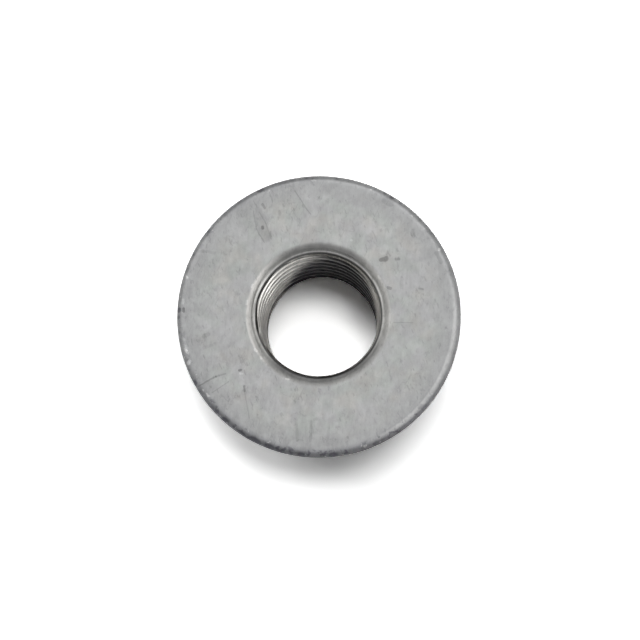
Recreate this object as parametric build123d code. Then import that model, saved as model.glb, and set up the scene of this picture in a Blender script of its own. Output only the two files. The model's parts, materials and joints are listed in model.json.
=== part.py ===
from build123d import *
import os
from math import atan2, cos, degrees, radians, tan

# Hexagon lock nut with flange, all metal, for an M12 x 1.75 right-hand bolt.
# It is forged from one piece of steel, tapped, and crimped at its far end, where
# three presses on the collar draw the bore in and make the thread grip.
#
# Frame: millimetres, +Z up. The nut stands on its collar with its bearing face up.
# The origin is on the thread axis in the plane of the collar's end, and +X points
# at a corner of the hexagon.

overall_height = 13.2

# Bore: its wall is the crests of the internal thread
bore_diameter = 10.44
mouth_diameter = 12.8            # where the bearing face starts to turn into the bore
mouth_lip_radius = 0.6
mouth_taper = 22.0               # degrees from the axis
far_countersink_diameter = 12.2
far_countersink_angle = 60.0     # degrees from the axis

# Flange
flange_diameter = 24.6
flange_edge_thickness = 1.9
flange_back_slope = 25.0         # degrees from the bearing face
bearing_edge_radius = 0.54
back_edge_radius = 0.9
flange_root_bevel = 0.3          # forged corner between flange and hexagon

# Hexagon
across_flats = 17.85
hexagon_corner_radius = 0.5
corner_chamfer_slope = 30.0      # degrees from the end face
shoulder_inset = 0.3             # chamfer circle inside the flats

# Collar at the locking end
collar_height = 2.6
collar_end_diameter = 15.2
collar_taper = 12.0              # degrees from the axis
collar_edge_bevel = 0.3

# Crimps
crimp_count = 3
crimp_slope = 30.0               # degrees from the axis
crimp_depth = 0.5                # pressed into the collar at its end
bore_squeeze = 0.08              # drawn into the bore at its end

past = 1.0                       # how far a cutting solid runs past what it cuts


def revolved(points, rounds=()):
    """Turn an outline of (radius, height) points about the axis, after rounding the
    corners that rounds lists as pairs of a point's number and a radius."""
    outline = make_face(Polyline(*points, close=True))
    for number, radius in rounds:
        radial, height = points[number]
        corner = outline.vertices().sort_by_distance((radial, height, 0))[0]
        outline = fillet(corner, radius)
    return revolve(Plane.XZ * outline, Axis.Z)


def flange():
    """Disc with a conical back: the flat face is the nut's bearing face."""
    rim = flange_diameter / 2
    inner = across_flats / 2 - past      # the cone runs on into the hexagon
    back_of_edge = overall_height - flange_edge_thickness
    back_of_root = back_of_edge - (rim - inner) * tan(radians(flange_back_slope))
    return revolved(
        [(0, back_of_root), (inner, back_of_root), (rim, back_of_edge), (rim, overall_height),
         (0, overall_height)],
        [(3, bearing_edge_radius), (2, back_edge_radius)],
    )


def wrench_body():
    """Hexagon with rounded corners, turned down to the collar at the locking end."""
    flats = fillet(
        RegularPolygon(across_flats / 2, 6, major_radius=False).vertices(), hexagon_corner_radius
    )
    hexagon = extrude(flats, overall_height - flange_edge_thickness)

    taper = tan(radians(collar_taper))
    collar_end = collar_end_diameter / 2
    collar_root = collar_end + collar_height * taper
    bevel_end = collar_end + collar_edge_bevel * taper
    shoulder = across_flats / 2 - shoulder_inset
    outside = across_flats / 2 / cos(radians(30)) + past
    chamfer_top = collar_height + (outside - shoulder) * tan(radians(corner_chamfer_slope))
    envelope = revolved(
        [(0, 0), (collar_end - collar_edge_bevel, 0), (bevel_end, collar_edge_bevel),
         (collar_root, collar_height), (shoulder, collar_height), (outside, chamfer_top),
         (outside, overall_height), (0, overall_height)]
    )
    return hexagon & envelope


def blank():
    """Forged blank: flange and hexagon in one, bevelled all round where they meet."""
    disc, wrench = flange(), wrench_body()
    body = disc + wrench
    return chamfer(new_edges(disc, wrench, combined=body), flange_root_bevel)


def around_axis(block):
    """Copies of a block at each crimp, over the middle of every other flat."""
    first = 180 / 6
    return [Rot(0, 0, first + 360 / crimp_count * i) * block for i in range(crimp_count)]


def leaning_block(distance, slope):
    """Block outside a plane that stands at a distance from the axis at the collar's end
    and leans away from it by slope degrees."""
    size = flange_diameter
    block = Box(size, size, size, align=(Align.MIN, Align.CENTER, Align.CENTER))
    return Pos(distance, 0, 0) * Rot(0, slope, 0) * block


def mouth():
    """What is cut out at the bearing face: a cone that a rounded lip leads into."""
    lip_centre = (mouth_diameter / 2, overall_height - mouth_lip_radius)
    lip = CenterArc(lip_centre, mouth_lip_radius, 90, 90 - mouth_taper)
    wall = lip @ 1
    tip = wall.Y - wall.X / tan(radians(mouth_taper))
    above = overall_height + past
    sides = Polyline(wall, (0, tip), (0, above), (mouth_diameter / 2, above), lip @ 0)
    return revolve(Plane.XZ * make_face([lip, sides]), Axis.Z)


def hole():
    """What is cut out along the axis: squeezed bore, mouth and far countersink."""
    radius = bore_diameter / 2
    squeeze_slope = degrees(atan2(bore_squeeze, collar_height))
    bore = Cylinder(radius, overall_height + 2 * past, align=(Align.CENTER, Align.CENTER, Align.MIN))
    bore = Pos(0, 0, -past) * bore - around_axis(leaning_block(radius - bore_squeeze, squeeze_slope))

    far = far_countersink_diameter / 2
    far_depth = (far - radius) / tan(radians(far_countersink_angle))
    countersink = revolved([(0, -past), (far, -past), (far, 0), (radius, far_depth), (0, far_depth)])
    return bore + mouth() + countersink


def lock_nut():
    """Blank with its collar crimped and its hole cut."""
    crimps = around_axis(leaning_block(collar_end_diameter / 2 - crimp_depth, crimp_slope))
    return blank() - crimps - hole()


flange_lock_nut = lock_nut()

os.makedirs("parts", exist_ok=True)
export_step(flange_lock_nut, "parts/flange_lock_nut.step")
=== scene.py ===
import json
import bmesh
import bpy
import mathutils
import numpy as np
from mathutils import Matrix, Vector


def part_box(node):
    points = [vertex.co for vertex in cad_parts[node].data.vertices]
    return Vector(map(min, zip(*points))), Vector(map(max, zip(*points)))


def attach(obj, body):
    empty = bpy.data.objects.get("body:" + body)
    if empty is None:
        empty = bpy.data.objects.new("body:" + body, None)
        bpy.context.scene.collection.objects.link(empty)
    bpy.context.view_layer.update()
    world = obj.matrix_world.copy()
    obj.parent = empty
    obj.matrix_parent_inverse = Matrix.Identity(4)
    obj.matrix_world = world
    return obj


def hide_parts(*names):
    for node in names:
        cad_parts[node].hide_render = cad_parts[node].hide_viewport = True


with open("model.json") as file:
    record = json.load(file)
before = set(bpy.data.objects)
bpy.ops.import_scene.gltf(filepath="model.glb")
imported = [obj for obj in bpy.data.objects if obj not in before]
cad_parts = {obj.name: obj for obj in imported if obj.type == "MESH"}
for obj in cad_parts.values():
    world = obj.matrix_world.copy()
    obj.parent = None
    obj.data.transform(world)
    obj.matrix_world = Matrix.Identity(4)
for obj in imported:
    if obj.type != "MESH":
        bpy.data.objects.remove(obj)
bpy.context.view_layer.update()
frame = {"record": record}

# The nut's outside
# One piece of steel: a hexagon forged in one with its flange, turned down to a collar at the
# locking end, where three presses have flattened the collar's side. Sizes are in millimetres,
# and angles about the axis in radians from +X.
lowest, highest = (np.array(corner) * 1000 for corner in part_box("flange_lock_nut"))
height = highest[2]
flange_radius = min(highest[0], -lowest[0])
edge_thickness = 1.9
bearing_edge_round = 0.54
back_edge_round = 0.9
back_slope = np.radians(25)          # from the bearing face
root_round = 0.5

across_flats = 17.85
half_flats = across_flats / 2
corner_round = 0.5
corner_slope = np.radians(30)        # from the end face
corner_slope_round = 0.2
shoulder_radius = half_flats - 0.3
shoulder_round = 0.08

collar_height = 2.6
collar_root_round = 0.3
collar_end_radius = 7.6
collar_end_round = 0.25
collar_taper = np.radians(12)        # from the axis
crimp_distance = 7.1                 # from the axis to the crimped face, at the end
crimp_lean = np.radians(30)          # from the axis
crimp_middles = np.radians([30, 150, 270])
crimp_reach = 1.2                    # angle from its middle past which a press touches nothing
crimp_blend = 0.05
crimp_top_round = 0.6
crimp_top_least = 0.8                # where no crimp reaches, the outline still bends here
crimp_top_blend = 0.1

mouth_radius = 6.4                   # where the face starts to turn into the lip
lip_round = 0.6
lip_shown = 0.12                     # depth down to which no thread cuts the lip
far_radius = 6.1
far_round = 0.03
far_cone = np.radians(60)            # from the axis
far_shown = 0.03                     # height above the end up to which no thread cuts it

columns = 424
crowding = 0.5                       # share by which columns draw in to the hexagon's corners
turn = 2 * np.pi * np.arange(columns + 1) / columns
angle = turn - crowding / 6 * np.sin(6 * turn)
around = angle[:-1]


def hexagon_radius(phi):
    """Distance from the axis to the side of the hexagon at angle phi. On a flat it is half the
    width across flats over the cosine of the angle from the flat's middle, and at a corner it
    is the far crossing of the ray with the corner's circle."""
    off_corner = (phi + np.pi / 6) % (np.pi / 3) - np.pi / 6
    centre = (half_flats - corner_round) / np.cos(np.pi / 6)
    flat = half_flats / np.cos(np.pi / 6 - np.abs(off_corner))
    under_root = corner_round**2 - (centre * np.sin(off_corner)) ** 2
    arc = centre * np.cos(off_corner) + np.sqrt(np.maximum(under_root, 0))
    ends = np.arctan2(corner_round / 2, centre + corner_round * np.cos(np.pi / 6))
    return np.where(np.abs(off_corner) < ends, arc, flat)


def soft_min(a, b, width):
    """The smaller of two arrays, with the corner between them rounded over width: their sum
    less the hypotenuse of their difference and width, halved."""
    return (a + b - np.sqrt((a - b) ** 2 + width**2)) / 2


def soft_max(a, b, width):
    """The larger of two arrays, with the corner between them rounded over width."""
    return -soft_min(-a, -b, width)


def off_crimp(phi):
    """Angle from the middle of the nearest crimp."""
    return np.abs((phi[:, None] - crimp_middles + np.pi) % (2 * np.pi) - np.pi).min(axis=1)


def outline(corners):
    """Rows of points along a path through corners, for every column at once. Each corner is
    (radius, height, rounding, rows on its round, rows on the run that follows it). A round is
    a rational quadratic curve, which is a true arc: its ends lie rounding / tan(half angle)
    from the corner, and the corner itself weighs the sine of the half angle."""
    radii, heights, roundings, round_rows, run_rows = zip(*corners)
    points = [np.stack(np.broadcast_arrays(r, h, around)[:2]) for r, h in zip(radii, heights)]
    leaving = points[0]
    rows = [leaving[None]]
    for k in range(1, len(corners)):
        corner = points[k]
        if k == len(corners) - 1:
            arriving = corner
            arc = corner[None]
        else:
            back = points[k - 1] - corner
            back = back / np.linalg.norm(back, axis=0)
            ahead = points[k + 1] - corner
            ahead = ahead / np.linalg.norm(ahead, axis=0)
            half = np.arccos(np.clip((back * ahead).sum(axis=0), -1, 1)) / 2
            reach = roundings[k] / np.tan(half)
            arriving = corner + back * reach
            ending = corner + ahead * reach
            s = np.linspace(0, 1, round_rows[k])[:, None, None]
            weights = (1 - s) ** 2, 2 * s * (1 - s) * np.sin(half), s**2
            arc = sum(w * p for w, p in zip(weights, (arriving, corner, ending))) / sum(weights)
        run = np.linspace(0, 1, run_rows[k - 1] + 2)[1:-1, None, None]
        rows += [leaving + (arriving - leaving) * run, arc]
        leaving = arc[-1]
    return np.concatenate(rows)


hexagon = hexagon_radius(around)
back_height = height - edge_thickness
collar_root_radius = collar_end_radius + collar_height * np.tan(collar_taper)

# A crimped face is a leaning plane: at the end it cuts the collar at crimp_end, and it runs
# out into the tapered side at crimp_top
off_middle = np.minimum(off_crimp(around), crimp_reach)
crimp_end = crimp_distance / np.cos(off_middle)
collar_end = soft_min(collar_end_radius, crimp_end, crimp_blend)
crimp_top = (crimp_end - collar_end_radius) / (
    np.tan(collar_taper) - np.tan(crimp_lean) / np.cos(off_middle)
)
crimp_top = soft_max(crimp_top, crimp_top_least, crimp_top_blend)

# The path starts in the mouth at lip_shown, crosses the face and ends inside the far end
lip_side = np.sqrt(lip_round**2 - (lip_round - lip_shown) ** 2)
lip_corner = lip_round * np.tan(np.arccos(1 - lip_shown / lip_round) / 2)
lip_edge_radius = mouth_radius - lip_side
far_edge_radius = far_radius - far_shown * np.tan(far_cone)
outer = outline([
    (lip_edge_radius, height - lip_shown, 0, 0, 0),
    (mouth_radius - lip_corner, height, lip_round, 7, 22),
    (flange_radius, height, bearing_edge_round, 10, 2),
    (flange_radius, back_height, back_edge_round, 9, 8),
    (hexagon, back_height - (flange_radius - hexagon) * np.tan(back_slope), root_round, 7, 9),
    (hexagon, collar_height + (hexagon - shoulder_radius) * np.tan(corner_slope), corner_slope_round, 4, 4),
    (shoulder_radius, collar_height, shoulder_round, 3, 1),
    (collar_root_radius, collar_height, collar_root_round, 5, 3),
    (collar_end_radius + crimp_top * np.tan(collar_taper), crimp_top, crimp_top_round, 4, 2),
    (collar_end, 0, collar_end_round, 6, 5),
    (far_radius, 0, far_round, 3, 0),
    (far_edge_radius, far_shown, 0, 0, 0),
])

# Chips in the bearing edge
# Knocked out where nuts have fallen on each other: ten large ones, each with its angle from +X
# in degrees, its length along the edge and its depth, and small ones all round.
large_chips = [
    (-131, 0.7, 0.06), (-117, 1.0, 0.08), (-110, 0.8, 0.07), (-97, 0.7, 0.05), (-84, 0.8, 0.06),
    (-66, 0.6, 0.05), (-151, 0.5, 0.05), (178, 0.5, 0.06), (115, 0.8, 0.05), (58, 0.6, 0.04),
]
small_chips = 46
chip_width = 0.26                    # across the edge
draw = np.random.default_rng(12)
small = [draw.uniform(least, most, small_chips) for least, most in ((-180, 180), (0.35, 0.6), (0.01, 0.035))]
chip_angle, chip_length, chip_depth = np.concatenate([np.transpose(large_chips), small], axis=1)


def chipped(radii, heights, phi):
    """How far the surface is knocked in. Each chip is a bell curve along the edge times one
    across it, about the middle of the edge's round, and the deepest chip at a point counts."""
    off = (phi[:, None] - np.radians(chip_angle) + np.pi) % (2 * np.pi) - np.pi
    along = np.exp(-((2 * flange_radius * off / chip_length) ** 2)) * chip_depth
    middle = bearing_edge_round * (1 - np.sqrt(0.5))
    from_middle = np.hypot(radii - flange_radius + middle, heights - height + middle)
    return along.max(axis=1) * np.exp(-((from_middle / chip_width) ** 2))


knocked = chipped(outer[:, 0], outer[:, 1], around)
outer = outer - np.sqrt(0.5) * knocked[:, None]

# The nut's bore
# The mouth is a rounded lip over a short chamfer, a step and a ledge. Below it the thread,
# M12 x 1.75 right hand, is cut through to the far end, where the crimps squeeze it in.
pitch = 1.75
thread = next(m for m in frame["record"]["mounts"] if m["name"] == "thread")
crest_radius = thread["dims"]["r_mm"]
root_radius = 6.0
half_root = pitch / 16               # half the width of the flat at the thread's root
flank = np.tan(np.radians(30))       # axial run of a flank for each unit of its depth
first_groove = 1.836                 # depth of the groove's middle at angle 0
thread_start = 0.78                  # depth at which the groove begins

mouth_lean = np.radians(48)          # of the chamfer under the lip, from the axis
step_radius = 5.8
step_depth = 0.334
step_lean = np.radians(14)
ledge_radius = 5.76
ledge_depth = 0.5
ledge_lean = np.radians(60)
lead_in = 0.025                      # widening of the crests for each unit towards the mouth
lead_depth = 2.6
lead_blend = 0.4
squeeze = 0.08                       # how far a crimp draws the end of the bore in
squeeze_reach = 0.42                 # angle from a crimp's middle at which that fades out

edge_break = 0.03                    # width over which a cut edge is broken
step_break = 0.02
crest_break = 0.04
root_break = 0.05


def crest_line(depth, phi):
    """Radius of the thread's crests at a depth below the face, and the part of it that is drawn
    in under the crimps. The radius grows towards the mouth by lead_in times the distance above
    lead_depth, and the squeeze falls with the square of the angle from the crimp's middle and
    in proportion to the height above the end."""
    near_end = np.clip(1 - (height - depth) / collar_height, 0, 1)
    press = squeeze * near_end * np.clip(1 - (off_crimp(phi) / squeeze_reach) ** 2, 0, 1)
    return crest_radius - press + lead_in * soft_max(lead_depth - depth, 0.0, lead_blend), press


def wall_radius(depth, phase, phi):
    """Radius of the bore's wall. Without the thread it is the lip's arc with the chamfer that
    touches it, the step, the ledge, and below them the crests, and at the far end the
    countersink. The thread's groove, a flat root between two flanks, is cut into that, so the
    larger radius counts; above thread_start the ledge stays whole. phase is the distance from
    the groove's middle, in pitches."""
    arc_end = lip_round * (1 - np.sin(mouth_lean))
    up = np.clip(lip_round - depth, lip_round - arc_end, lip_round)
    lip = mouth_radius - np.sqrt(lip_round**2 - up**2)
    lip = lip - np.maximum(depth - arc_end, 0) * np.tan(mouth_lean)
    step = step_radius - (depth - step_depth) * np.tan(step_lean)
    ledge = ledge_radius - (depth - ledge_depth) * np.tan(ledge_lean)
    crests, press = crest_line(depth, phi)
    far = far_radius - (height - depth) * np.tan(far_cone)
    mouth = soft_min(soft_max(lip, step, step_break), ledge, edge_break)
    plain = soft_max(soft_max(mouth, crests, crest_break), far, edge_break)
    sideways = np.abs((phase + 0.5) % 1 - 0.5) * pitch
    groove = root_radius - press + (half_root - sideways) / flank
    groove = np.minimum(groove, crests + (depth - thread_start) / flank)
    groove = soft_min(groove, root_radius - press, root_break)
    return soft_max(plain, groove, edge_break)


# Rows follow the groove down, close together beside its edges. At both ends they stop at the
# rim that the outside starts and ends with.
half_crest = half_root + (root_radius - crest_radius) * flank  # to the start of the crest
row_gap = 0.035                      # from an edge of the groove to the rows beside it
steps = np.array([
    0, half_root - row_gap, half_root + row_gap, 0.5 * (half_root + half_crest),
    half_crest - 2 * row_gap, half_crest - row_gap / 2, half_crest + row_gap, (half_crest + pitch / 2) / 2,
]) / pitch
steps = np.concatenate([-steps[:0:-1], steps, [0.5]])
turns = np.arange(-1, 9)             # from above the mouth to below the far end
phase = (turns[:, None] + steps).ravel()
depth = first_groove + pitch * (phase[:, None] - angle / (2 * np.pi))
depth = np.clip(depth, lip_shown, height - far_shown)
useful = (depth.min(axis=1) < height - far_shown) & (depth.max(axis=1) > lip_shown)
first, last = np.flatnonzero(useful)[[0, -1]]
phase = phase[first - 1:last + 2]
depth = depth[first - 1:last + 2]
radius = wall_radius(depth, phase[:, None], angle)
radius = np.where(depth <= lip_shown, lip_edge_radius, radius)
radius = np.where(depth >= height - far_shown, far_edge_radius, radius)
across = np.abs((phase + 0.5) % 1 - 0.5)[:, None] * pitch + 0 * depth
sunk = np.clip(radius - crest_line(depth, angle)[0], 0, 1)


def placed(radii, heights, phi):
    """Points at these radii and heights, in metres, one column for each angle."""
    points = np.stack([radii * np.cos(phi), radii * np.sin(phi), heights], axis=-1)
    return points.reshape(-1, 3) / 1000


def quads(rows, width, wraps):
    """Corner numbers of the grid's faces, facing to the left of the row direction."""
    row, column = np.meshgrid(np.arange(rows - 1), np.arange(width if wraps else width - 1), indexing="ij")
    here = row * width + column
    beside = row * width + (column + 1) % width
    return np.stack([here, here + width, beside + width, beside], axis=-1).reshape(-1, 4)


# The outside and the bore become one closed mesh, which carries three measures for its finish:
# how far the edge is knocked in, the distance across the thread, and the depth in its groove
shell = placed(outer[:, 0], outer[:, 1], around)
bore = placed(radius, height - depth, angle)
faces = np.concatenate([
    quads(len(outer), columns, True),
    quads(len(radius), columns + 1, False)[:, ::-1] + len(shell),
])
mesh = bpy.data.meshes.new("flange_nut_finish")
mesh.from_pydata(np.concatenate([shell, bore]).tolist(), [], faces.tolist())
for name, of_shell, of_bore in (
    ("knocked", knocked, 0 * sunk), ("across", 0 * knocked, across), ("sunk", 0 * knocked, sunk)
):
    measure = mesh.attributes.new(name, "FLOAT", "POINT")
    measure.data.foreach_set("value", np.concatenate([of_shell.ravel(), of_bore.ravel()]))
weld_distance = 2e-7                 # metres; it closes the two rims and the bore's seam
work = bmesh.new()
work.from_mesh(mesh)
bmesh.ops.remove_doubles(work, verts=work.verts, dist=weld_distance)
bmesh.ops.recalc_face_normals(work, faces=work.faces)
work.to_mesh(mesh)
work.free()
mesh.polygons.foreach_set("use_smooth", np.ones(len(mesh.polygons), dtype=bool))
nut = bpy.data.objects.new("flange_nut_finish", mesh)
bpy.context.scene.collection.objects.link(nut)
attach(nut, "root")
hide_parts("flange_lock_nut")

# Coating
# Dull grey zinc flake over the whole nut. It is mottled from the bath, scuffed where parts lay
# against each other, burnished on the lip and chipped along the rim, and thin in the thread.


class Socket:
    """An output socket of a material or the world. Arithmetic on it adds Math nodes there."""

    def __init__(self, socket):
        self.socket = socket

    def node(self, kind, settings, sockets, output=0):
        """Add a node of this kind: its settings first, then the values or links of its sockets,
        by name or number. Gives the output asked for."""
        tree = self.socket.id_data
        made = tree.nodes.new("ShaderNode" + kind)
        for name, value in settings.items():
            setattr(made, name, value)
        for name, value in sockets.items():
            if isinstance(value, Socket):
                tree.links.new(value.socket, made.inputs[name])
            else:
                made.inputs[name].default_value = value
        return Socket(made.outputs[output])

    def maths(self, operation, *others):
        """Add a Math node on this socket and the others, in that order."""
        return self.node("Math", {"operation": operation}, dict(enumerate((self, *others))))

    def __add__(self, other):
        return self.maths("ADD", other)

    def __sub__(self, other):
        return self.maths("SUBTRACT", other)

    def __rsub__(self, other):
        return -1 * self + other

    def __mul__(self, other):
        return self.maths("MULTIPLY", other)

    def __abs__(self):
        return self.maths("ABSOLUTE")

    __radd__, __rmul__ = __add__, __mul__

    def rise(self, start, end):
        """0 below start and 1 above end, with a smooth step between; it falls if end is lower."""
        return self.node(
            "MapRange", {"interpolation_type": "SMOOTHSTEP"},
            {"Value": self, "From Min": start, "From Max": end},
        )

    def colour(self, lower, upper):
        """Colour between two others: this socket is the share of the upper one. The Mix node's
        colours are its inputs 6 and 7 and its output 2."""
        return self.node("Mix", {"data_type": "RGBA"}, {0: self, 6: lower, 7: upper}, 2)


coating = bpy.data.materials.new("coated_steel")
coating.use_nodes = True
mesh.materials.append(coating)
metal = coating.node_tree.nodes["Principled BSDF"]
place = Socket(metal.outputs[0]).node("TexCoord", {}, {}, "Object")
place = place.node("VectorMath", {"operation": "SCALE"}, {0: place, "Scale": 1000.0})
x, y, z = (place.node("SeparateXYZ", {}, {0: place}, axis) for axis in "XYZ")
from_axis = place.node("VectorMath", {"operation": "MULTIPLY"}, {0: place, 1: (1, 1, 0)})
from_axis = place.node("VectorMath", {"operation": "LENGTH"}, {0: from_axis}, "Value")


def grain(size, detail=2.0, stretch=(1, 1, 1), turned=0.0, shift=0.0):
    """Noise from 0 to 1 about 0.5, with patches about size across, stretched along its own
    axes after it is turned about the nut's axis, by degrees. shift moves the pattern, so that
    each use has its own."""
    spot = place.node(
        "Mapping", {"vector_type": "TEXTURE"},
        {"Vector": place, "Location": (shift, shift, shift), "Rotation": (0, 0, np.radians(turned)),
         "Scale": tuple(size * s for s in stretch)},
    )
    return spot.node("TexNoise", {}, {"Vector": spot, "Scale": 1.0, "Detail": detail, "Roughness": 0.55})


# Mottling
# The flake dried from its bath in soft-edged pools and patches, small streaks and meandering
# hairlines. Each is a layer of noise that changes tone, the coating's share of brightness.
clouds = grain(2.6, detail=3.0, shift=3.1)
patches = grain(0.75, stretch=(0.8, 1.3, 1), turned=12, shift=7.7)
streaks = grain(0.34, stretch=(0.55, 2.2, 1), turned=-6, shift=1.3)
specks = grain(0.13, detail=1.0, shift=9.2)
wide_pools = grain(1.7, detail=3.0, stretch=(1.1, 0.8, 1), turned=25, shift=6.6).rise(0.45, 0.55)
small_pools = grain(0.85, detail=3.0, stretch=(0.7, 1.2, 1), turned=-10, shift=3.6).rise(0.5, 0.58)
smudges = grain(0.7, detail=3.0, stretch=(0.7, 1.2, 1), turned=15, shift=2.4).rise(0.62, 0.70)
veins = abs(grain(1.3, detail=3.0, stretch=(0.8, 1.3, 1), turned=8, shift=4.9) - 0.5).rise(0.022, 0.004)
veins = veins * grain(1.0, detail=1.0, shift=0.7).rise(0.5, 0.62)
tone = 1
for layer, strength in (
    (clouds, 0.30), (patches, 0.42), (streaks, 0.26), (specks, 0.10), (wide_pools, 0.07), (small_pools, 0.07)
):
    tone = tone + strength * (layer - 0.5)
tone = tone - 0.13 * smudges - 0.13 * veins

# Flecks where the coating is thin, and short hairline scratches
flecks = grain(0.42, detail=1.0, stretch=(0.5, 1.7, 1), turned=20, shift=5.5).rise(0.66, 0.71)
hairs = grain(1.1, detail=1.0, stretch=(0.12, 2.4, 1), turned=-28, shift=2.2).rise(0.68, 0.74)
tone = tone * (1 - 0.18 * flecks) * (1 - 0.14 * hairs)

# Scuffs
# Rubs, pits and scratches on the bearing face, each with its start and end, its width, and how
# much lighter or darker than the coating it is. A mark is what lies near the line from its
# start to its end, which wavers a little. The two lighter marks on the rim's left edge, near
# x -11 and y -2 to -4, are painted highlights.
scuffs = [
    ((-5.3, 8.95), (-4.55, 6.8), 1.1, -0.17), ((-5.7, 9.1), (-5.4, 7.5), 0.13, -0.16),
    ((-5.4, 7.5), (-4.7, 6.3), 0.14, -0.22), ((-5.15, 9.0), (-4.6, 8.0), 0.13, -0.2),
    ((-4.6, 8.0), (-4.1, 6.6), 0.13, -0.16), ((-4.9, 7.68), (-4.86, 7.55), 0.26, -0.5),
    ((-4.87, 9.7), (-4.68, 9.35), 0.24, -0.3), ((-3.4, 9.05), (-3.35, 8.8), 0.3, -0.15),
    # The second mark on the next line, on the rim's left edge, is a painted highlight.
    ((-2.07, 10.85), (-0.69, 8.77), 0.12, -0.25), ((-11.6, -2.1), (-11.23, -3.6), 0.25, 0.25),
    ((5.45, 4.72), (5.85, 4.82), 0.5, -0.5), ((5.6, 5.45), (5.8, 5.8), 0.7, 0.16),
    ((6.7, 4.8), (6.95, 4.8), 0.28, -0.3), ((5.2, 3.3), (5.3, 3.1), 0.22, 0.2),
    ((2.85, 6.44), (2.9, 6.44), 0.2, 0.3), ((6.0, 2.3), (6.2, 2.2), 0.3, -0.4),
    ((8.7, 2.2), (9.0, 2.15), 0.2, -0.28), ((7.2, 3.1), (7.2, 2.3), 0.35, -0.12),
    ((5.8, 10.0), (6.3, 9.7), 0.7, -0.2), ((8.2, 7.3), (8.25, 6.8), 0.4, -0.13),
    ((9.4, 7.3), (9.6, 6.7), 0.5, -0.14), ((10.2, 5.3), (10.6, 4.5), 0.4, -0.22),
    ((-10.3, -6.2), (-8.8, -5.36), 0.15, -0.3), ((-8.8, -5.36), (-8.0, -5.1), 0.17, -0.24),
    ((-9.1, -6.75), (-7.7, -5.8), 0.12, -0.2), ((-6.8, -4.85), (-6.65, -4.8), 0.22, -0.5),
    ((-6.75, -5.1), (-6.55, -5.1), 0.2, 0.25), ((-6.4, -6.2), (-5.9, -8.9), 0.13, -0.18),
    ((-6.36, -6.2), (-6.3, -6.6), 0.2, -0.35), ((6.5, -0.73), (8.1, -0.75), 0.12, -0.2),
    ((-9.9, -1.9), (-9.5, -1.7), 0.4, -0.2), ((-9.9, -2.9), (-9.2, -2.65), 0.3, -0.12),
    ((-10.5, 5.6), (-9.0, 5.4), 0.3, -0.14), ((-1.9, -9.0), (-1.8, -10.8), 0.3, -0.12),
    ((-0.6, -9.2), (-0.7, -10.9), 0.25, -0.14), ((0.9, -9.4), (0.8, -11.2), 0.3, -0.1),
    ((-7.9, -8.9), (-7.7, -9.1), 0.4, -0.25), ((-5.35, -3.15), (-5.45, -3.05), 0.3, 0.4),
    ((-4.95, -3.7), (-4.9, -3.8), 0.25, 0.35), ((-2.75, -5.55), (-2.55, -5.6), 0.22, 0.45),
    ((-6.2, 0.9), (-6.2, 1.2), 0.22, 0.3), ((-5.8, 2.4), (-5.7, 2.6), 0.22, 0.3),
    # The first mark on the next line, on the rim's left edge, is a painted highlight.
    ((-11.08, -4.1), (-11.14, -4.2), 0.42, 0.9), ((-11.67, 0.5), (-11.67, 0.3), 0.3, -0.5),
    ((-11.75, 1.0), (-11.72, 1.3), 0.25, 0.4),
]
waver = 0.35                         # how far a line strays, for the root of its width
mark_edge = 0.3                      # squared distance in squared widths where a mark ends
mark_core = 0.08                     # and where it comes to its full strength
pressed_in = -0.25                   # marks darker than this are dents too
on_face = z.rise(height - 0.3, height - 0.1)
drift = grain(0.5, shift=4.4) - 0.5
dent = 0 * on_face
for (ax, ay), (bx, by), width, change in scuffs:
    length = np.hypot(bx - ax, by - ay)
    ux = (bx - ax) / length
    uy = (by - ay) / length
    along = ux * x + uy * y - (ux * (ax + bx) + uy * (ay + by)) / 2
    off = ux * y - uy * x - (ux * ay - uy * ax) + waver * width**0.5 * drift
    past = (abs(along) - length / 2).maths("MAXIMUM", 0.0)
    mark = (off * off + past * past).rise(mark_edge * width**2, mark_core * width**2) * on_face
    tone = tone * (1 + change * mark)
    if change < pressed_in:
        dent = dent + mark

# Colour of the face
# The zinc flake is a nearly neutral grey. Two layers of noise tint it faintly green and warm
# in patches, and it is a little darker outwards.
face_grey = (0.349, 0.350, 0.353, 1)
face_green = (0.341, 0.355, 0.343, 1)
face_warm = (0.360, 0.352, 0.337, 1)
outer_grey = (0.305, 0.308, 0.31, 1)
greenish = grain(1.9, shift=6.3).rise(0.4, 0.65)
warm = grain(2.2, shift=8.8).rise(0.45, 0.7)
body = greenish.colour(face_grey, face_green)
body = (0.8 * warm).colour(body, face_warm)
body = from_axis.rise(9.4, 11.6).colour(body, outer_grey)

# Rim
# The flange's edge has lost its shine in handling: it is dulled at the upper left and chipped
# dark. Painted shade darkens it at the front, a painted highlight lies along it at the lower
# right, and light specks on it are partly bare steel in nicks and partly painted glints.
dull_and_shade_grey = (0.14, 0.141, 0.152, 1)
edge_highlight_grey = (0.46, 0.46, 0.455, 1)
chip_dark = (0.06, 0.06, 0.075, 1)
nick_dark = (0.07, 0.07, 0.085, 1)
nick_and_glint_light = (0.66, 0.66, 0.65, 1)
rim = from_axis.rise(11.35, 11.85)
outermost = from_axis.rise(11.5, 11.8)
bearing_edge = z.rise(height - 1.1, height - 0.5)
low_side = y.rise(-2.0, -9.5)
upper_right = (x + 0.7 * y).rise(0.0, 6.0)
lower_right = (0.87 * x - 0.5 * y).rise(8.3, 11.2)
upper_left = (0.87 * y - 0.5 * x).rise(9.0, 11.5)
upper_left = upper_left * grain(1.6, detail=3.0, stretch=(1, 1, 0.5), shift=1.9).rise(0.3, 0.6)
# Painted shade darkens the rim at the front; at the upper left it is dulled in patches.
dull_and_front_shade = (0.05 + 0.68 * low_side + 0.45 * upper_left).maths("MINIMUM", 0.9)
dull_and_front_shade = rim * z.rise(height - 1.9, height - 0.9) * dull_and_front_shade
body = dull_and_front_shade.colour(body, dull_and_shade_grey)
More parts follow.
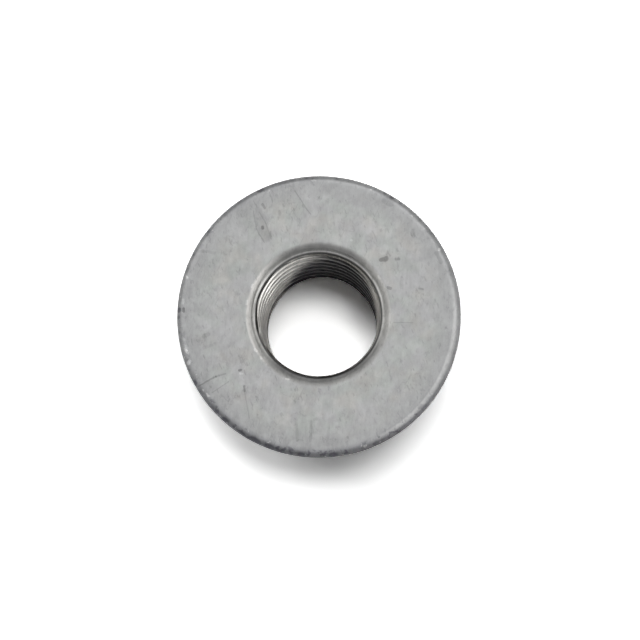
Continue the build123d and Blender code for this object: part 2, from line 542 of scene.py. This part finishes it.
# A painted highlight: a light line along the rim's round at the lower right.
painted_edge_highlight = from_axis.rise(11.5, 11.65) * from_axis.rise(12.05, 11.85) * lower_right
body = (0.6 * painted_edge_highlight).colour(body, edge_highlight_grey)
chips = grain(0.6, detail=3.0, stretch=(1, 1, 0.6), shift=2.9).rise(0.54, 0.6) * outermost
chips = chips * bearing_edge * (0.35 + 0.65 * low_side) * (1 - 0.8 * upper_right)
body = (0.7 * chips).colour(body, chip_dark)
nicks = place.node("Attribute", {"attribute_name": "knocked"}, {}, "Fac").rise(0.008, 0.035)
body = (0.75 * nicks * (1 - 0.7 * lower_right)).colour(body, nick_dark)
# Light specks on the rim's edge: partly bare steel in nicks, partly painted glints.
nicks_and_painted_glints = grain(0.55, detail=3.0, shift=8.1).rise(0.64, 0.7) * outermost * bearing_edge
body = (0.6 * nicks_and_painted_glints).colour(body, nick_and_glint_light)

# Bore
# The cut thread is brighter steel under a thin coat, with fine lines from the tap round it.
# Painted shade darkens it deep in its grooves, near the far end and on the wall that the light
# doesn't reach, and painted light makes it lighter towards the left.
cut_grey = (0.51, 0.50, 0.48, 1)
cut_bright = (0.72, 0.70, 0.66, 1)
groove_shade_dark = (0.10, 0.10, 0.10, 1)
far_end_shade_dark = (0.05, 0.05, 0.05, 1)
unlit_dark = (0.025, 0.025, 0.03, 1)
in_bore = from_axis.rise(6.2, 6.1) * z.rise(0.1, 0.3) * z.rise(height - 0.6, height - 0.75)
across_thread = place.node("Attribute", {"attribute_name": "across"}, {}, "Fac")
groove_depth = place.node("Attribute", {"attribute_name": "sunk"}, {}, "Fac")
lines = place.node("CombineXYZ", {}, {0: 11 * across_thread, 1: 0.3 * x + 0.8 * z, 2: 0.3 * y})
lines = lines.node("TexNoise", {}, {"Vector": lines, "Scale": 1.0, "Detail": 2.0, "Roughness": 0.5})
cut = (1.2 * lines - 0.1).colour(cut_grey, cut_bright)
# Painted shade deep in the thread's grooves.
shaded = groove_depth.rise(0.08, 0.24) * z.rise(height - 0.66, height - 0.8)
cut = shaded.colour(cut, groove_shade_dark)
# Painted light: the cut steel is made lighter towards the left, the side the light falls on.
lit_side_cut = cut.node("VectorMath", {"operation": "SCALE"}, {0: cut, "Scale": 1.3})
cut = x.rise(-1.5, -4.0).colour(cut, lit_side_cut)
# Painted shade near the far end of the bore.
cut = (0.7 * z.rise(2.2, 0.8)).colour(cut, far_end_shade_dark)
# Painted shade on the back wall, which the light doesn't reach.
unlit = (0.91 * y + 0.42 * x - 0.27 * z).rise(1.0, 2.6) * z.rise(12.8, 11.5)
cut = (0.95 * unlit).colour(cut, unlit_dark)
body = in_bore.colour(body, cut)

# Lip
# The coating on the mouth's lip is burnished at both sides, where a painted highlight lightens
# it. Painted shade darkens it at the back and low at the front. A painted highlight and a
# painted shade line run round on the ledge at its foot.
lip_grey = (0.38, 0.378, 0.37, 1)
lip_back_shade = (0.2, 0.2, 0.2, 1)
lip_front_shade = (0.1, 0.1, 0.1, 1)
sheen_top = (0.57, 0.56, 0.54, 1)
sheen_foot = (0.66, 0.655, 0.63, 1)
painted_gleam_light = (0.66, 0.655, 0.64, 1)
crease_shade_dark = (0.04, 0.04, 0.04, 1)
foot_start = z.rise(height - 0.8, height - 0.7)
lip = from_axis.rise(6.34, 6.1) * foot_start * (1 - in_bore)
sides = 0.6 * x.rise(2.5, 5.5) * y.rise(-3.5, -0.5) + x.rise(-2.5, -5.5) * y.rise(-5.5, -2.5)
burnish_and_sheen = lip * sides
body = lip.colour(body, lip_grey)
# Painted shade on the lip at the back and, low down, at the front.
body = (0.5 * lip * y.rise(2.0, 5.0)).colour(body, lip_back_shade)
body = (0.8 * lip * y.rise(-1.5, -4.5) * from_axis.rise(6.1, 5.5)).colour(body, lip_front_shade)
# A painted highlight lightens the burnished lip at both sides.
painted_sheen = from_axis.rise(6.12, 5.9).colour(sheen_top, sheen_foot)
body = burnish_and_sheen.colour(body, painted_sheen)
# A painted highlight: a thin light line round the ledge.
painted_gleam = abs(from_axis - 5.62).rise(0.06, 0.02) * foot_start * y.rise(-4.5, -1.5)
body = (0.5 * painted_gleam).colour(body, painted_gleam_light)
# Painted shade: a dark line round the ledge, in the fold below the step.
crease_shade = abs(from_axis - 5.46).rise(0.11, 0.05) * z.rise(height - 0.9, height - 0.8)
body = (0.85 * crease_shade).colour(body, crease_shade_dark)

# Finish
# tone lightens and darkens the colour. The flake is matt, and smoother and more metallic where
# it is burnished, worn or cut. Its grain, dents and chips are a fine relief.
relief_height = 0.000012             # metres, for a relief of 1
tinted = body.node("VectorMath", {"operation": "SCALE"}, {0: body, "Scale": tone})
roughness = 0.55 + 0.12 * (patches - 0.5) - 0.10 * burnish_and_sheen - 0.21 * in_bore - 0.10 * rim
metallic = 0.1 + 0.9 * in_bore + 0.5 * burnish_and_sheen + 0.2 * from_axis.rise(11.75, 12.0)
relief = 0.35 * specks + 0.8 * patches + 0.5 * streaks - 0.8 * dent - 0.6 * chips + 0.5 * lines * in_bore
bump = relief.node("Bump", {}, {"Height": relief, "Strength": 1.0, "Distance": relief_height})
for made, name in (
    (tinted, "Base Color"), (roughness, "Roughness"), (metallic, "Metallic"), (bump, "Normal")
):
    coating.node_tree.links.new(made.socket, metal.inputs[name])

# Floor
# A square sheet of white paper with a plain diffuse surface. It is lit past white in view and
# is a little brighter in the metal, with the nut's shadow on it.
floor_reach = 0.3                    # metres from the axis to the sheet's edges
paper_white = (0.85, 0.85, 0.85, 1)
mirrored_white = (1.0, 1.0, 1.0, 1)
seen_white = (1.8, 1.8, 1.8, 1)
floor_corners = [(floor_reach * i, floor_reach * j, 0) for i, j in ((-1, -1), (1, -1), (1, 1), (-1, 1))]
floor_mesh = bpy.data.meshes.new("floor")
floor_mesh.from_pydata(floor_corners, [], [(0, 1, 2, 3)])
floor = bpy.data.objects.new("floor", floor_mesh)
bpy.context.scene.collection.objects.link(floor)
paper = bpy.data.materials.new("paper")
paper.use_nodes = True
paper_nodes = paper.node_tree.nodes
paper_nodes.remove(paper_nodes["Principled BSDF"])
sheet = paper_nodes.new("ShaderNodeBsdfDiffuse")
paper.node_tree.links.new(sheet.outputs[0], paper_nodes["Material Output"].inputs["Surface"])
rays = Socket(sheet.outputs[0])
white = rays.node("LightPath", {}, {}, "Is Glossy Ray").colour(paper_white, mirrored_white)
white = rays.node("LightPath", {}, {}, "Is Camera Ray").colour(white, seen_white)
paper.node_tree.links.new(white.socket, sheet.inputs["Color"])
floor_mesh.materials.append(paper)

# Light
# Soft boxes overhead and behind, two low ones at the sides, and hardly any light from the
# front. The room is nearly dark, but the view shows it white and the metal mirrors two panes.
room_glow = 0.02
world = bpy.data.worlds.new("studio")
bpy.context.scene.world = world
world.use_nodes = True
sky = world.node_tree.nodes["Background"]
sky.inputs["Color"].default_value = (1, 1, 1, 1)
toward = Socket(sky.outputs[0]).node("TexCoord", {}, {}, "Object")


def window(direction, edge, middle):
    """Share of white from a pane about a direction, for the rays that look that way. edge and
    middle are the cosines between which its brightness rises."""
    facing = toward.node("VectorMath", {"operation": "DOT_PRODUCT"},
                         {0: toward, 1: mathutils.Vector(direction).normalized()}, "Value")
    return facing.rise(edge, middle)


in_view = toward.node("LightPath", {}, {}, "Is Camera Ray")
in_metal = toward.node("LightPath", {}, {}, "Is Glossy Ray")
right_pane = window((1, -0.3, 0.95), 0.42, 0.74)
left_pane = window((-1, 0.1, 0.75), 0.68, 0.92)
in_metal = in_metal * (right_pane + 0.6 * left_pane)
sky_strength = (room_glow + in_view + in_metal).maths("MINIMUM", 1.0)
world.node_tree.links.new(sky_strength.socket, sky.inputs["Strength"])

# Rectangular lamps that look at the nut: name, direction, width and depth in metres, and the
# part of full brightness that each gives a surface facing it. Full brightness takes a power of
# pi squared times the distance squared.
lamp_distance = 1.5
for name, direction, lamp_width, lamp_depth, share in (
    ("key", (0.08, 0.18, 1), 0.5, 0.32, 0.46),
    ("top", (0.04, 0.03, 1), 0.3, 0.3, 0.025),
    ("back", (0.0, 0.45, 1), 0.9, 0.3, 0.22),
    ("back_left", (-0.6, 0.37, 1), 0.4, 0.3, 0.17),
    ("side_right", (1.3, -0.45, 1), 0.35, 0.35, 0.07),
    ("side_left", (-1.35, -0.2, 1), 0.35, 0.35, 0.05),
):
    lamp = bpy.data.lights.new(name, "AREA")
    lamp.shape = "RECTANGLE"
    lamp.size = lamp_width
    lamp.size_y = lamp_depth
    lamp.energy = share * (np.pi * lamp_distance) ** 2
    holder = bpy.data.objects.new(name, lamp)
    bpy.context.scene.collection.objects.link(holder)
    from_nut = mathutils.Vector(direction).normalized()
    holder.location = from_nut * lamp_distance
    holder.rotation_euler = from_nut.to_track_quat("Z", "Y").to_euler()

# Camera
# It looks almost straight down on the bearing face, from a little in front and to the right,
# with a lens that shows view_width at its distance.
eye_distance = 0.1025                # metres from the middle of the face
view_width = 0.05514864              # metres across
tilt = np.radians(7.4)               # from straight down
side = np.radians(12.3)              # from the front
sensor_width = 36
face_centre = mathutils.Vector((0, 0, height / 1000))
looked_at = face_centre + mathutils.Vector((0.135, -0.502, 0)) / 1000
eye = face_centre + eye_distance * mathutils.Vector(
    (np.sin(tilt) * np.sin(side), -np.sin(tilt) * np.cos(side), np.cos(tilt)))
camera_data = bpy.data.cameras.new("camera")
camera_data.sensor_width = sensor_width
camera_data.lens = sensor_width * eye_distance / view_width
camera_data.clip_start = 0.005
camera = bpy.data.objects.new("camera", camera_data)
bpy.context.scene.collection.objects.link(camera)
camera.location = eye
back = (eye - looked_at).normalized()
right = mathutils.Vector((0, 1, 0)).cross(back).normalized()
up = back.cross(right)
camera.rotation_euler = mathutils.Matrix((right, up, back)).transposed().to_euler()
bpy.context.scene.camera = camera
bpy.context.scene.view_settings.view_transform = "Standard"
